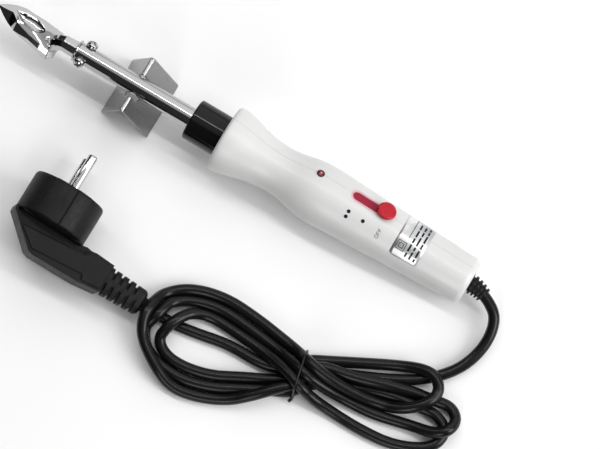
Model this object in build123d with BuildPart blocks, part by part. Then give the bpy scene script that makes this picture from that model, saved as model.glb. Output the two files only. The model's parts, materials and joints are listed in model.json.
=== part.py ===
from build123d import *
import math
import os

# Heated edge creaser: a mains-powered hand tool for burnishing and creasing leather edges.
# Millimetres.  +Z up, the tool lies along X with its tip towards -X, resting on the rear of
# its handle and on a folded sheet-metal stand.  The origin is on the resting surface under
# the middle of the tool.

# ---------------------------------------------------------------- driving dimensions
INCLINE = 4.0            # slope of the tool's axis when the barrel lies in its stand, degrees
ROLL = -25.0             # the tool lies rolled about its axis, switch away from -Y, degrees
X_REAR = 126.73          # where the axis crosses the handle's rear end plane

HANDLE_LENGTH = 138.0
HANDLE_WALL = 2.0
REAR_WALL = 2.6
FRONT_WALL = 4.0
# outer radius of the handle against distance from its rear end
HANDLE_STATIONS = [(3.2, 12.05), (12.0, 12.4), (31.5, 13.1), (58.0, 14.25), (74.0, 14.9),
                   (85.0, 15.15), (93.0, 14.2), (101.0, 12.55), (107.0, 12.0), (113.0, 12.3),
                   (122.5, 14.2), (129.5, 16.1), (135.6, 17.0)]
SCREW_BOSSES = [(24.0, -7.2), (92.0, -8.3), (110.5, -5.6)]
BOSS_R = 2.5
HOUSING_SCREW_R = 1.1
HOUSING_HEAD_R = 2.2

COLLAR_R = 10.5
COLLAR_FRONT = 155.6
COLLAR_FLANGE_R = 13.0
BARREL_R = 5.0
BARREL_BORE = 4.3
BARREL_REAR = 119.0
BARREL_FRONT = 220.8
BARREL_LIP_R = 5.7
CLAMP_SCREW_T = 216.4
CLAMP_SCREW_ANGLES = (-35.0, 85.0)   # about the axis, from the tool's top towards its left
CLAMP_SHANK_R = 1.5
CLAMP_HEAD_R = 2.45

TIP_POINT = (264.7, -0.2)
NECK_R = 3.7
SHANK_R = 4.2

SWITCH_OFF = 51.7        # slider centre, from the rear end plane
SWITCH_TRAVEL = 15.6
SLOT_WIDTH = 5.0
KNOB_R = 4.75
LAMP_T = 88.0
BOARD_TOP = 1.6

CORD_D = 5.6
PLUG_X = -60.9
PLUG_FACE_Y = -60.0
PLUG_R = 19.5
PLUG_TAIL = 58.0         # from the pins' middle to the tail's end
PLUG_TAIL_Y = -88.0
PLUG_TILT = 14.0
PIN_R = 2.4
PIN_LENGTH = 19.0
PIN_ROOT_R = 2.9
PIN_SPACING = 19.0

STAND_T = 186.4          # crest position along the barrel
STAND_CREST_Z = 28.0
STAND_HALF_BASE = 13.1
STAND_WIDTH = 30.5
SHEET = 0.8
NOTCH_GAP = 0.15

# ---------------------------------------------------------------- frames
ti, ro = math.radians(INCLINE), math.radians(ROLL)
ci, si = math.cos(ti), math.sin(ti)
Z_REAR = max(r * ci - t * si for t, r in HANDLE_STATIONS) + 0.02
FWD = Vector(-ci, 0, si)                                   # along the axis, towards the tip
LIFT = Vector(si, 0, ci)                                   # square to it, in the vertical plane


def radial(angle):
    """Unit vector square to the axis: 0 is the steepest upward one, positive turns towards -Y."""
    a = math.radians(angle)
    return LIFT * math.cos(a) + Vector(0, -1, 0) * math.sin(a)


TOP = radial(ROLL)                                         # the tool's own top
SIDE = FWD.cross(TOP)                                      # the tool's own right side
REAR = Vector(X_REAR, 0, Z_REAR)


def at(t, r=0.0, s=0.0):
    """Point from distance along the axis, height towards the tool's top, and offset to its right."""
    return REAR + FWD * t + TOP * r + SIDE * s


def side_plane(s=0.0):
    """Sketch plane through the tool's middle: x along the axis, y towards the top."""
    return Plane(origin=at(0, 0, s), x_dir=FWD, z_dir=SIDE)


def cross_plane(t):
    """Sketch plane square to the axis: x towards the tool's left, y towards its top."""
    return Plane(origin=at(t), x_dir=-SIDE, z_dir=FWD)


def top_plane(r):
    """Sketch plane parallel to the axis: x along it, y towards the tool's left."""
    return Plane(origin=at(0, r), x_dir=FWD, z_dir=TOP)


AXIS = Axis(REAR, FWD)
MID = side_plane()
os.makedirs("parts", exist_ok=True)


def save(builder, name):
    builder.part.label = name
    export_step(builder.part, f"parts/{name}.step")
    print(name, round(builder.part.volume, 1))


# ---------------------------------------------------------------- handle shells
inner = [(t, r - HANDLE_WALL) for t, r in HANDLE_STATIONS if t < 133]
outer_pts = [(t, r) for t, r in HANDLE_STATIONS]

with BuildPart() as handle_form:
    with BuildSketch(MID):
        with BuildLine():
            Polyline((0, 0), (0, 9.4))
            Spline((0, 9.4), outer_pts[0], tangents=[(0.0, 1.0), (1.0, 0.04)], tangent_scalars=[1.0, 1.0])
            Spline(*outer_pts, tangents=[(1.0, 0.04), (1.0, 0.02)])
            Spline(outer_pts[-1], (HANDLE_LENGTH, 15.0), tangents=[(1.0, 0.02), (0.0, -1.0)])
            Polyline((HANDLE_LENGTH, 15.0), (HANDLE_LENGTH, 0), (0, 0))
        make_face()
    revolve(axis=AXIS)

with BuildPart() as handle_cavity:
    with BuildSketch(MID):
        with BuildLine():
            Polyline((REAR_WALL, 0), (REAR_WALL, 9.0), inner[0])
            Spline(*inner)
            Polyline(inner[-1], (HANDLE_LENGTH - FRONT_WALL, 14.2), (HANDLE_LENGTH - FRONT_WALL, 0), (REAR_WALL, 0))
        make_face()
    revolve(axis=AXIS)
    with BuildSketch(MID):
        with Locations(*SCREW_BOSSES):
            Circle(BOSS_R)
    extrude(amount=20, both=True, mode=Mode.SUBTRACT)

with BuildPart() as handle_openings:
    with BuildSketch(cross_plane(HANDLE_LENGTH - FRONT_WALL - 0.5)):
        Circle(COLLAR_R + 0.03)
    extrude(amount=FRONT_WALL + 2)
    with BuildSketch(cross_plane(-1)):
        Circle(4.0)
    extrude(amount=REAR_WALL + 2)
    with BuildSketch(top_plane(8.0)):
        with Locations(((2 * SWITCH_OFF + SWITCH_TRAVEL) / 2, 0)):
            SlotOverall(SWITCH_TRAVEL + SLOT_WIDTH, SLOT_WIDTH)
    extrude(amount=10)
    with BuildSketch(top_plane(8.0)):
        with Locations((LAMP_T, 0)):
            Circle(1.6)
    extrude(amount=10)

with BuildPart() as handle_shell_left:
    add(handle_form.part)
    add(handle_cavity.part, mode=Mode.SUBTRACT)
    add(handle_openings.part, mode=Mode.SUBTRACT)
    split(bisect_by=MID, keep=Keep.BOTTOM)
    with BuildSketch(MID):
        with Locations(*SCREW_BOSSES):
            Circle(HOUSING_SCREW_R)
    extrude(amount=-6.0, mode=Mode.SUBTRACT)
save(handle_shell_left, "handle_shell_left")

with BuildPart() as handle_shell_right:
    add(handle_form.part)
    add(handle_cavity.part, mode=Mode.SUBTRACT)
    add(handle_openings.part, mode=Mode.SUBTRACT)
    split(bisect_by=MID, keep=Keep.TOP)
    with BuildSketch(MID):
        with Locations(*SCREW_BOSSES):
            Circle(HOUSING_SCREW_R + 0.15)
    extrude(amount=20, mode=Mode.SUBTRACT)
    with BuildSketch(side_plane(5.0)):
        with Locations(*SCREW_BOSSES):
            Circle(HOUSING_HEAD_R + 0.2)
    extrude(amount=20, mode=Mode.SUBTRACT)
save(handle_shell_right, "handle_shell_right")

with BuildPart() as housing_screws:
    with BuildSketch(side_plane(-5.5)):
        with Locations(*SCREW_BOSSES):
            Circle(HOUSING_SCREW_R)
    extrude(amount=10.5)
    with BuildSketch(side_plane(5.0)):
        with Locations(*SCREW_BOSSES):
            Circle(HOUSING_HEAD_R)
    extrude(amount=1.6)
    with BuildSketch(side_plane(5.8)):
        with Locations(*SCREW_BOSSES):
            Rectangle(3.0, 0.6)
            Rectangle(0.6, 3.0)
    extrude(amount=1.0, mode=Mode.SUBTRACT)
save(housing_screws, "housing_screws")

# ---------------------------------------------------------------- collar and barrel
with BuildPart() as heat_collar:
    with BuildSketch(MID):
        with BuildLine():
            Polyline((128, BARREL_R + 0.02), (128, COLLAR_FLANGE_R), (HANDLE_LENGTH - FRONT_WALL, COLLAR_FLANGE_R),
                     (HANDLE_LENGTH - FRONT_WALL, COLLAR_R), (COLLAR_FRONT - 0.9, COLLAR_R), (COLLAR_FRONT, COLLAR_R - 0.9),
                     (COLLAR_FRONT, BARREL_R + 0.02), (128, BARREL_R + 0.02))
        make_face()
    revolve(axis=AXIS)
save(heat_collar, "heat_collar")

with BuildPart() as clamp_screws:
    for angle in CLAMP_SCREW_ANGLES:
        e = radial(ROLL + angle)
        base = REAR + FWD * CLAMP_SCREW_T
        with BuildSketch(Plane(origin=base + e * 4.2, x_dir=FWD, z_dir=e)):
            Circle(CLAMP_SHANK_R)
        extrude(amount=2.0)
        with BuildSketch(Plane(origin=base + e * 5.35, x_dir=FWD, z_dir=e)):
            Circle(CLAMP_HEAD_R)
        extrude(amount=1.9)
        with BuildSketch(Plane(origin=base + e * 6.3, x_dir=FWD, z_dir=e)):
            Rectangle(3.2, 0.6)
            Rectangle(0.6, 3.2)
        extrude(amount=1.2, mode=Mode.SUBTRACT)

with BuildPart() as barrel_tube:
    with BuildSketch(MID):
        with BuildLine():
            Polyline((BARREL_REAR, BARREL_BORE), (BARREL_REAR, BARREL_R), (BARREL_FRONT - 1.3, BARREL_R),
                     (BARREL_FRONT - 1.0, BARREL_LIP_R), (BARREL_FRONT - 0.2, BARREL_LIP_R), (BARREL_FRONT, BARREL_LIP_R - 0.2),
                     (BARREL_FRONT, BARREL_BORE), (BARREL_REAR, BARREL_BORE))
        make_face()
    revolve(axis=AXIS)
    add(clamp_screws.part, mode=Mode.SUBTRACT)
save(barrel_tube, "barrel_tube")
save(clamp_screws, "clamp_screws")

with BuildPart() as barrel_flange:
    with BuildSketch(cross_plane(125.6)):
        Circle(9.5)
        Circle(BARREL_R + 0.02, mode=Mode.SUBTRACT)
    extrude(amount=2.0)
save(barrel_flange, "barrel_flange")

with BuildPart() as heater_sleeve:
    with BuildSketch(cross_plane(146)):
        Circle(4.2)
        Circle(3.1, mode=Mode.SUBTRACT)
    extrude(amount=53)
save(heater_sleeve, "heater_sleeve")

with BuildPart() as heater_core:
    with BuildSketch(cross_plane(150)):
        Circle(3.0)
    extrude(amount=49)
save(heater_core, "heater_core")

with BuildPart() as heater_leads:
    for s in (-1.3, 1.3):
        with BuildLine() as run:
            FilletPolyline(at(150, 0, s), at(112, 0.4, s), at(97, 4.4, s * 2.3), at(84.5, 4.4, s * 2.3), radius=8)
        with BuildSketch(Plane(origin=at(150, 0, s), z_dir=-FWD)):
            Circle(0.75)
        sweep(path=run.line)
save(heater_leads, "heater_leads")

# ---------------------------------------------------------------- working end
with BuildPart() as tip_neck:
    with BuildSketch(cross_plane(201)):
        Circle(SHANK_R)
    extrude(amount=20.4)
    with BuildLine() as bend:
        FilletPolyline(at(221, 0), at(226.0, 0), at(234.2, -5.6), radius=4.5)
    with BuildSketch(cross_plane(221)):
        Circle(NECK_R)
    sweep(path=bend.line)
save(tip_neck, "tip_neck")

with BuildPart() as tip_body:
    with BuildSketch(MID):
        with BuildLine():
            Polyline((230.2, -2.9), (251.5, 1.9), TIP_POINT, (252.6, -6.0), (245.0, -8.8), (233.2, -11.3), (230.2, -2.9))
        make_face()
    extrude(amount=8, both=True)
    with BuildSketch(top_plane(-14)):
        with BuildLine():
            Polyline((228.5, 6.1), (234.5, 6.55), (242.5, 6.0), (251.8, 4.5), (TIP_POINT[0], 0.25), (TIP_POINT[0], -0.25),
                     (251.8, -4.5), (242.5, -6.0), (234.5, -6.55), (228.5, -6.1), (228.5, 6.1))
        make_face()
    extrude(amount=18, mode=Mode.INTERSECT)
    # dished top: a shallow leaf-shaped hollow
    dish = Solid.make_sphere(9.2, Plane(origin=at(239.5, 6.6), x_dir=FWD, z_dir=TOP))
    add(dish, mode=Mode.SUBTRACT)
    add(tip_neck.part, mode=Mode.SUBTRACT)
save(tip_body, "tip_body")

# ---------------------------------------------------------------- switch, lamp and electrics
with BuildPart() as circuit_board:
    with BuildSketch(top_plane(BOARD_TOP - 1.6)):
        with Locations((61.5, 0)):
            Rectangle(61, 13)
    extrude(amount=1.6)
save(circuit_board, "circuit_board")

slot_mid = SWITCH_OFF + SWITCH_TRAVEL / 2
with BuildPart() as switch_body:
    with BuildSketch(top_plane(BOARD_TOP)):
        with Locations((slot_mid, 0)):
            Rectangle(25, 9)
    extrude(amount=7.0)
    with BuildSketch(top_plane(BOARD_TOP + 4.6)):
        with Locations((slot_mid, 0)):
            SlotOverall(SWITCH_TRAVEL + 4.0, 2.4)
    extrude(amount=3.0, mode=Mode.SUBTRACT)
save(switch_body, "switch_body")

with BuildPart() as switch_bezel:
    with BuildSketch(top_plane(9.4)):
        with Locations((slot_mid, 0)):
            Rectangle(27, 9)
    extrude(amount=0.9)
    with BuildSketch(top_plane(10.2)):
        with Locations((slot_mid, 0)):
            SlotOverall(SWITCH_TRAVEL + SLOT_WIDTH - 0.3, SLOT_WIDTH - 0.3)
    extrude(amount=2.4)
    with BuildSketch(top_plane(9.0)):
        with Locations((slot_mid, 0)):
            SlotOverall(SWITCH_TRAVEL + 2.6, 2.4)
    extrude(amount=5, mode=Mode.SUBTRACT)
save(switch_bezel, "switch_bezel")

with BuildPart() as switch_terminals:
    with BuildSketch(top_plane(BOARD_TOP - 1.6)):
        with Locations((slot_mid - 8, 0), (slot_mid, 0), (slot_mid + 8, 0)):
            Rectangle(0.8, 2.0)
    extrude(amount=-2.4)
save(switch_terminals, "switch_terminals")

with BuildPart() as switch_slider:
    with BuildSketch(top_plane(BOARD_TOP + 5.0)):
        with Locations((SWITCH_OFF, 0)):
            Circle(0.9)
    extrude(amount=6.6)
    with BuildSketch(top_plane(12.95)):
        with Locations((SWITCH_OFF, 0)):
            Circle(2.15)
    extrude(amount=2.35)
    with BuildSketch(top_plane(15.2)):
        with Locations((SWITCH_OFF, 0)):
            Circle(KNOB_R)
    extrude(amount=1.9)
    chamfer(switch_slider.faces().sort_by(Axis(at(0), TOP))[-1].edges(), 0.55)
save(switch_slider, "switch_slider")

with BuildPart() as indicator_lamp:
    with BuildSketch(top_plane(8.6)):
        with Locations((LAMP_T, 0)):
            Circle(1.9)
    extrude(amount=1.0)
    with BuildSketch(top_plane(9.6)):
        with Locations((LAMP_T, 0)):
            Circle(1.5)
    extrude(amount=5.0)
    chamfer(indicator_lamp.faces().sort_by(Axis(at(0), TOP))[-1].edges(), 0.6)
    with BuildSketch(top_plane(BOARD_TOP)):
        with Locations((LAMP_T, 1.27), (LAMP_T, -1.27)):
            Rectangle(0.5, 0.5)
    extrude(amount=7.4)
save(indicator_lamp, "indicator_lamp")

with BuildPart() as power_diode:
    with BuildSketch(cross_plane(35)):
        with Locations((2.8, BOARD_TOP + 1.5)):
            Circle(1.45)
    extrude(amount=5.4)
save(power_diode, "power_diode")

with BuildPart() as lamp_resistor:
    with BuildSketch(cross_plane(76)):
        with Locations((-3.6, BOARD_TOP + 1.2)):
            Circle(1.15)
    extrude(amount=6.2)
save(lamp_resistor, "lamp_resistor")

# ---------------------------------------------------------------- cord entry
d_end = Vector(0.92, -0.36, -0.15).normalized()
RELIEF_BEND = at(-4.5)
CORD_EXIT = RELIEF_BEND + d_end * 5.0

with BuildPart() as cord_inner:
    with BuildLine() as tail:
        FilletPolyline(at(27), RELIEF_BEND, CORD_EXIT, radius=9)
    with BuildSketch(Plane(origin=at(27), z_dir=-FWD)):
        Circle(CORD_D / 2)
    sweep(path=tail.line)
save(cord_inner, "cord_inner")

with BuildPart() as strain_relief:
    with BuildLine() as relief_line:
        FilletPolyline(at(14), RELIEF_BEND, CORD_EXIT, radius=9)
    with BuildSketch(Plane(origin=at(14), z_dir=-FWD)):
        Circle(3.9)
    sweep(path=relief_line.line)
    with BuildSketch(cross_plane(REAR_WALL)):
        Circle(5.6)
    extrude(amount=2.0)
    with BuildSketch(cross_plane(-1.6)):
        Circle(4.7)
    extrude(amount=1.6)
    add(cord_inner.part, mode=Mode.SUBTRACT)
save(strain_relief, "strain_relief")

with BuildPart() as supply_wires:
    for s in (-1.3, 1.3):
        with BuildLine() as run:
            FilletPolyline(at(27, -1.0, s), at(30, -1.0, s), at(34, -3.2, s), at(46.0, -3.2, s), radius=2)
        with BuildSketch(Plane(origin=at(27, -1.0, s), z_dir=FWD)):
            Circle(0.75)
        sweep(path=run.line)
save(supply_wires, "supply_wires")

with BuildPart() as cord_clamp:
    with BuildSketch(cross_plane(16.5)):
        with Locations((0, -4.3)):
            Rectangle(15, 3.0)
    extrude(amount=5.0)
save(cord_clamp, "cord_clamp")

with BuildPart() as cord_clamp_screws:
    with BuildSketch(top_plane(-7.4)):
        with Locations((19.0, 5.4), (19.0, -5.4)):
            Circle(2.0)
    extrude(amount=1.6)
save(cord_clamp_screws, "cord_clamp_screws")

with BuildPart() as rating_label:
    with BuildSketch(MID):
        with BuildLine():
            lo, hi = 26.2, 41.2
            r_lo, r_hi = 12.93, 13.52
            Polyline((lo, r_lo), (hi, r_hi), (hi, r_hi + 0.22), (lo, r_lo + 0.22), (lo, r_lo))
        make_face()
    revolve(axis=AXIS, revolution_arc=68)
    with BuildSketch(MID):
        with BuildLine():
            Polyline((lo, r_lo), (hi, r_hi), (hi, r_hi + 0.22), (lo, r_lo + 0.22), (lo, r_lo))
        make_face()
    revolve(axis=AXIS, revolution_arc=-68)
    add(handle_form.part, mode=Mode.SUBTRACT)
save(rating_label, "rating_label")

# ---------------------------------------------------------------- stand
sx = (REAR + FWD * STAND_T).X
axis_z = (REAR + FWD * STAND_T).Z
leg = math.atan2(STAND_CREST_Z, STAND_HALF_BASE)
notch_floor = axis_z - (BARREL_R / ci) - NOTCH_GAP - 0.35
with BuildPart() as stand:
    with BuildSketch(Plane(origin=(sx, -STAND_WIDTH / 2, 0), x_dir=(1, 0, 0), z_dir=(0, -1, 0))):
        with BuildLine():
            w = SHEET / math.sin(leg)
            Polyline((-STAND_HALF_BASE, 0), (0, STAND_CREST_Z), (STAND_HALF_BASE, 0), (STAND_HALF_BASE - w, 0),
                     (0, STAND_CREST_Z - w * math.tan(leg)), (-STAND_HALF_BASE + w, 0), (-STAND_HALF_BASE, 0))
        make_face()
    extrude(amount=-STAND_WIDTH)
    with BuildSketch(Plane(origin=(sx - 20, 0, 0), x_dir=(0, 1, 0), z_dir=(1, 0, 0))):
        with BuildLine():
            Polyline((-6.0, 40), (-6.0, notch_floor + 3.2), (-2.4, notch_floor), (2.4, notch_floor),
                     (6.0, notch_floor + 3.2), (6.0, 40), (-6.0, 40))
        make_face()
    extrude(amount=40, mode=Mode.SUBTRACT)
save(stand, "stand")

# ---------------------------------------------------------------- plug
PLUG_Z = PLUG_R
pt = math.radians(PLUG_TILT)
PLUG_FWD = Vector(math.cos(pt), 0, -math.sin(pt))          # along its tail, which has rolled down to the surface
PLUG_UP = Vector(math.sin(pt), 0, math.cos(pt))
PLUG_MID = Vector(PLUG_X, 0, PLUG_Z)
face_plane = Plane(origin=PLUG_MID + Vector(0, PLUG_FACE_Y, 0), x_dir=PLUG_FWD, z_dir=(0, -1, 0))


def tail_plane(x):
    """Sketch plane square to the plug's tail: x along +Y, y towards the plug's own top."""
    return Plane(origin=PLUG_MID + PLUG_FWD * x + Vector(0, PLUG_TAIL_Y, 0), x_dir=(0, 1, 0), z_dir=PLUG_FWD)


with BuildPart() as plug_body:
    # round face block, lying on its rim
    with BuildSketch(face_plane):
        Circle(PLUG_R)
        with Locations((0, PLUG_R), (0, -PLUG_R)):
            Rectangle(5.0, 3.4, mode=Mode.SUBTRACT)
    extrude(amount=19.5)
    # angled rear housing, narrower than the face
    with BuildSketch(Plane(origin=PLUG_MID - PLUG_UP * 11.2, x_dir=PLUG_FWD, z_dir=PLUG_UP)):
        with BuildLine():
            Polyline((-19.3, -78.0), (-19.0, -81.5), (-1.0, -97.2), (35.5, -96.2),
                     (35.5, -80.2), (21.5, -79.2), (19.3, -78.0), (-19.3, -78.0))
        make_face()
    extrude(amount=22.4)
    # ribbed tail
    with BuildSketch(tail_plane(35.0)):
        RectangleRounded(14.6, 12.0, 3.0)
    with BuildSketch(tail_plane(PLUG_TAIL)):
        RectangleRounded(12.6, 9.4, 3.0)
    loft()
    with BuildSketch(face_plane):
        with Locations((0, PIN_SPACING / 2), (0, -PIN_SPACING / 2)):
            Circle(PIN_ROOT_R)
    extrude(amount=8, mode=Mode.SUBTRACT)
save(plug_body, "plug_body")

with BuildPart() as plug_pins:
    with BuildSketch(face_plane):
        with Locations((0, PIN_SPACING / 2), (0, -PIN_SPACING / 2)):
            Circle(PIN_ROOT_R)
    extrude(amount=8)
    with BuildSketch(face_plane):
        with Locations((0, PIN_SPACING / 2), (0, -PIN_SPACING / 2)):
            Circle(PIN_R)
    extrude(amount=-PIN_LENGTH)
    chamfer(plug_pins.faces().sort_by(Axis.Y)[-2:].edges(), 0.8)
save(plug_pins, "plug_pins")

# ---------------------------------------------------------------- cord
PLUG_EXIT = tail_plane(PLUG_TAIL).origin
LEAD_ROUTE = [CORD_EXIT, CORD_EXIT + d_end * 8.0, (147.6, -12.8, 7.3), (147.8, -24.4, 4.4), (143.2, -37.4, 3.0),
              (132.6, -49.2, 2.95), (118.0, -58.6, 2.95)]
PLUG_ROUTE = [PLUG_EXIT, PLUG_EXIT + PLUG_FWD * 7.0, (9.4, -88.5, 2.85), (17.0, -87.9, 2.9)]


def cord_tube(route, name):
    """Straight runs joined by tangent arcs; returns the path's corner radii and length."""
    pts = [Vector(*p) if isinstance(p, tuple) else p for p in route]
    radii = []
    for a, b, c in zip(pts, pts[1:], pts[2:]):
        half = math.radians((b - a).get_angle(c - b)) / 2
        radii.append(0.45 * min((b - a).length, (c - b).length) / math.tan(half))
    print(name, "radii", [round(r, 1) for r in radii], "turns",
          [round((b - a).get_angle(c - b)) for a, b, c in zip(pts, pts[1:], pts[2:])])
    return pts, radii


pts, radii = cord_tube(LEAD_ROUTE, "cord_lead")
with BuildPart() as cord_lead:
    with BuildLine() as lead_line:
        FilletPolyline(*pts, radius=radii)
    with BuildSketch(Plane(origin=pts[0], z_dir=pts[1] - pts[0])):
        Circle(CORD_D / 2)
    sweep(path=lead_line.line)
save(cord_lead, "cord_lead")
print("lead tube volume over section x length", cord_lead.part.volume / (math.pi * CORD_D ** 2 / 4 * lead_line.wires()[0].length))

pts, radii = cord_tube(PLUG_ROUTE, "cord_plug_lead")
with BuildPart() as cord_plug_lead:
    with BuildLine() as plug_line:
        FilletPolyline(*pts, radius=radii)
    with BuildSketch(Plane(origin=pts[0], z_dir=pts[1] - pts[0])):
        Circle(CORD_D / 2)
    sweep(path=plug_line.line)
save(cord_plug_lead, "cord_plug_lead")
print("plug tube volume over section x length", cord_plug_lead.part.volume / (math.pi * CORD_D ** 2 / 4 * plug_line.wires()[0].length))

HANK_OUTLINE = [(70.6, -66.6), (86.6, -66.4), (90.6, -61.5), (103.6, -53.6), (117.6, -47.2), (128.6, -44.8), (138.1, -43.8), (145.6, -49), (150.6, -53.6), (157.1, -54.6),
                (160.6, -60.5), (157.6, -68), (156.1, -75.5), (151.1, -80.5), (142.6, -85.6), (126.6, -90), (110.6, -90.6), (95.6, -90.6), (86.6, -90.4), (70.6, -91.2),
                (66.6, -97), (58.1, -105.6), (48.6, -112.5), (37.6, -117.8), (26.6, -118), (16.6, -114), (5.6, -108.3), (-1, -101.5), (-1, -92), (-1, -83),
                (-0.9, -75), (7.6, -67.6), (14.6, -64.8), (22.6, -63), (33.1, -62.4), (47.6, -64), (62.6, -66.2)]
HANK_H = 12.6
TIE_X, TIE_Y, TIE_W, TIE_H = 78.6, -78.6, 22.4, 16.6
with BuildPart() as hank_tie:
    with BuildSketch(Plane(origin=(TIE_X - 1.1, TIE_Y, TIE_H / 2 + 0.02), x_dir=(0, 1, 0), z_dir=(1, 0, 0))):
        RectangleRounded(TIE_W + 2.2, TIE_H, 6.0)
        RectangleRounded(TIE_W, TIE_H - 2.2, 5.0, mode=Mode.SUBTRACT)
    extrude(amount=2.2)
save(hank_tie, "hank_tie")

with BuildPart() as cord_hank:
    with BuildSketch(Plane.XY.offset(0.1)):
        Polygon(*[p for p in HANK_OUTLINE], align=None)
        with Locations((TIE_X, TIE_Y)):
            Rectangle(7.0, 40, mode=Mode.SUBTRACT)
    extrude(amount=HANK_H)
    with BuildSketch(Plane(origin=(TIE_X - 6, TIE_Y, TIE_H / 2 + 0.02), x_dir=(0, 1, 0), z_dir=(1, 0, 0))):
        RectangleRounded(TIE_W, TIE_H - 2.2, 5.0)
    extrude(amount=12.0)
save(cord_hank, "cord_hank")
print("exit", CORD_EXIT, "plug exit", PLUG_EXIT, "z_rear", Z_REAR, "stand x", sx, "axis z", axis_z, "notch", notch_floor)
print("axis", FWD, "top", TOP, "side", SIDE)
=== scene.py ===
import bpy, bmesh, math, json
from mathutils import Vector, Matrix
from mathutils.bvhtree import BVHTree


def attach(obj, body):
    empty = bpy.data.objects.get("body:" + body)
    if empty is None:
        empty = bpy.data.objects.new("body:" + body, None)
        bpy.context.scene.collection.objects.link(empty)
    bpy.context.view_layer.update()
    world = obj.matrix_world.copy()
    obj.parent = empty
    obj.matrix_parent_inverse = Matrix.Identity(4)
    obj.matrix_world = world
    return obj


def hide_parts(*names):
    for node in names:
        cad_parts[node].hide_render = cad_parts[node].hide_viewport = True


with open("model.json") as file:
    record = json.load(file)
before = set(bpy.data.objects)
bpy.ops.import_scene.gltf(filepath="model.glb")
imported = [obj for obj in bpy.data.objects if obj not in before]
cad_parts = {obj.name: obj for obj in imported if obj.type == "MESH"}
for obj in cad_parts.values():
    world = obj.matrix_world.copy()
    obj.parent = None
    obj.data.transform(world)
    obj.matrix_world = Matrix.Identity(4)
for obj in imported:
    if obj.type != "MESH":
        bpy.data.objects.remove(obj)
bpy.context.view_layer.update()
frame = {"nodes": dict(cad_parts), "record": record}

scene = bpy.context.scene
MM = 0.001
nodes = frame["nodes"]

# ------------------------------------------------------------------ the tool's own frame
ti, ro = math.radians(4.0), math.radians(-25.0)
FWD = Vector((-math.cos(ti), 0, math.sin(ti)))
LIFT = Vector((math.sin(ti), 0, math.cos(ti)))
NEAR = Vector((0, -1, 0))


def radial(deg):
    a = math.radians(deg)
    return LIFT * math.cos(a) + NEAR * math.sin(a)


TOP = radial(-25.0)
SIDE = FWD.cross(TOP)
REAR = Vector((126.73, 0, 11.8174))


def at(t, r=0.0, s=0.0):
    """Point in mm: t along the axis from the handle's rear end, r towards the tool's top, s to its right."""
    return REAR + FWD * t + TOP * r + SIDE * s


def polar(t, deg, r):
    """Point in mm at radius r, deg from the tool's top towards its left."""
    return REAR + FWD * t + radial(-25.0 + deg) * r


# ------------------------------------------------------------------ materials
def new_mat(name, color, rough=0.5, metal=0.0, coat=0.0, spec=0.5, coat_rough=0.05):
    m = bpy.data.materials.new(name)
    m.use_nodes = True
    b = m.node_tree.nodes["Principled BSDF"]
    b.inputs["Base Color"].default_value = (*color, 1)
    b.inputs["Roughness"].default_value = rough
    b.inputs["Metallic"].default_value = metal
    b.inputs["Coat Weight"].default_value = coat
    b.inputs["Coat Roughness"].default_value = coat_rough
    b.inputs["Specular IOR Level"].default_value = spec
    return m, m.node_tree, b


def noise(nt, scale, detail=4.0, rough=0.55, stretch=None, coord="Object"):
    tc = nt.nodes.new("ShaderNodeTexCoord")
    mp = nt.nodes.new("ShaderNodeMapping")
    if stretch:
        mp.inputs["Scale"].default_value = stretch
    n = nt.nodes.new("ShaderNodeTexNoise")
    n.inputs["Scale"].default_value = scale
    n.inputs["Detail"].default_value = detail
    n.inputs["Roughness"].default_value = rough
    nt.links.new(tc.outputs[coord], mp.inputs["Vector"])
    nt.links.new(mp.outputs["Vector"], n.inputs["Vector"])
    return n


def vary(nt, b, socket, n, lo, hi, frm=(0.3, 0.7)):
    """Drives a number socket between lo and hi by a noise."""
    mr = nt.nodes.new("ShaderNodeMapRange")
    mr.inputs["From Min"].default_value, mr.inputs["From Max"].default_value = frm
    mr.inputs["To Min"].default_value, mr.inputs["To Max"].default_value = lo, hi
    nt.links.new(n.outputs["Fac"], mr.inputs["Value"])
    nt.links.new(mr.outputs["Result"], b.inputs[socket])


def tint(nt, b, n, c0, c1, frm=(0.35, 0.65)):
    """Drives the base colour between two colours by a noise."""
    cr = nt.nodes.new("ShaderNodeValToRGB")
    cr.color_ramp.elements[0].position, cr.color_ramp.elements[1].position = frm
    cr.color_ramp.elements[0].color = (*c0, 1)
    cr.color_ramp.elements[1].color = (*c1, 1)
    nt.links.new(n.outputs["Fac"], cr.inputs["Fac"])
    nt.links.new(cr.outputs["Color"], b.inputs["Base Color"])
    return cr


def bump(nt, b, n, strength, dist):
    bp = nt.nodes.new("ShaderNodeBump")
    bp.inputs["Strength"].default_value = strength
    bp.inputs["Distance"].default_value = dist
    nt.links.new(n.outputs["Fac"], bp.inputs["Height"])
    nt.links.new(bp.outputs["Normal"], b.inputs["Normal"])


def plastic(name, c, rough, grain, strength, dist=0.0001, coat=0.0, dc=0.06, scale=60.0, spec=0.5):
    m, nt, b = new_mat(name, c, rough, coat=coat, spec=spec)
    big = noise(nt, scale, 3.0)
    tint(nt, b, big, tuple(max(0, x * (1 - dc)) for x in c), tuple(min(1, x * (1 + dc)) for x in c))
    vary(nt, b, "Roughness", noise(nt, scale * 3.7, 5.0), rough * 0.86, min(1, rough * 1.16))
    bump(nt, b, noise(nt, grain, 3.0), strength, dist)
    return m


def metal(name, c, rough, stretch=None, grain=900.0, strength=0.03, dist=0.00002, rv=0.35):
    m, nt, b = new_mat(name, c, rough, metal=1.0)
    tint(nt, b, noise(nt, 90.0, 4.0), tuple(x * 0.94 for x in c), c)
    g = noise(nt, grain, 5.0, stretch=stretch)
    vary(nt, b, "Roughness", g, rough * (1 - rv), rough * (1 + rv))
    bump(nt, b, g, strength, dist)
    return m


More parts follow.
